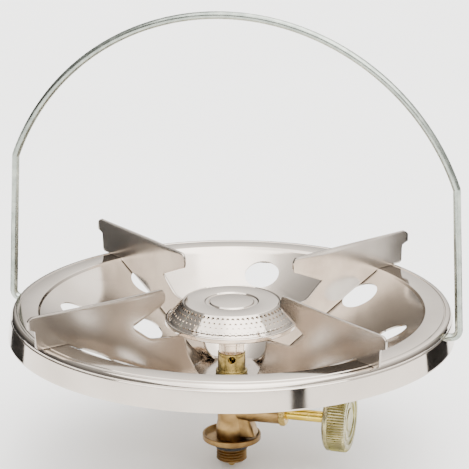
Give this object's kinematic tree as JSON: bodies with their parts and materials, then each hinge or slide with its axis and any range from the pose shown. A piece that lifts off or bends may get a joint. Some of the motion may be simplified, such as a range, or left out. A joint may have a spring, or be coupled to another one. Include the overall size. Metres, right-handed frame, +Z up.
{
  "type": "camping gas stove head",
  "caption": "Screw-on camping gas stove head: pressed round dish, upright pan supports, perforated burner, brass needle valve with knurled knob, threaded coupling and wire bail handle.",
  "frame": {"origin": "root of the coupling's male thread, on its axis, just under the sealing ring", "axes": "+Z up along the cylinder-thread axis and the burner; +X along the valve spindle towards its knob, parallel to the bail handle's pivot"},
  "size_m": [0.242, 0.23, 0.2429],
  "materials": {
    "bright_steel": "nickel-chrome plated pressed steel",
    "satin_steel": "plated steel sheet, satin",
    "turned_brass": "turned, bare",
    "forged_brass": "hot-forged and turned, lightly tarnished",
    "filter_felt": "compressed felt",
    "seal_rubber": "moulded nitrile",
    "passivated_zinc": "yellow-passivated zinc plating, knurled",
    "zinc_wire": "galvanised wire, satin"
  },
  "bodies": {
    "stove": {"dish": "bright_steel", "pan_support": "satin_steel", "burner_cap": "bright_steel", "burner_bowl": "bright_steel", "mixing_tube": "bright_steel", "jet_holder": "turned_brass", "gas_jet": "turned_brass", "gas_filter": "filter_felt", "valve_body": "forged_brass", "dish_washer": "bright_steel", "cylinder_coupling": "forged_brass", "cylinder_seal": "seal_rubber", "opener_pin": "turned_brass", "gland_washer": "turned_brass", "gland_nut": "turned_brass"},
    "bail": {"bail_handle": "zinc_wire"},
    "spindle_seal": {"spindle_o_ring": "seal_rubber"},
    "spindle": {"valve_spindle": "turned_brass", "control_knob": "passivated_zinc", "knob_grub_screw": "zinc_wire"}
  },
  "joints": [
    {"name": "bail_swing", "type": "hinge", "parent": "stove", "child": "bail", "pos_m": [0, 0, 0.0712], "axis": [1, 0, 0], "range_deg": [-110, 110]},
    {"name": "spindle_travel", "type": "slide", "parent": "stove", "child": "spindle_seal", "axis": [1, 0, 0], "range_m": [0, 0.0015]},
    {"name": "knob_turn", "type": "hinge", "parent": "spindle_seal", "child": "spindle", "pos_m": [0.056, 0, 0.021], "axis": [1, 0, 0], "range_deg": [0, 540]}
  ],
  "couplings": [
    {"joint": "spindle_travel", "follows": "knob_turn", "m_per_rad": 0.00015915}
  ]
}
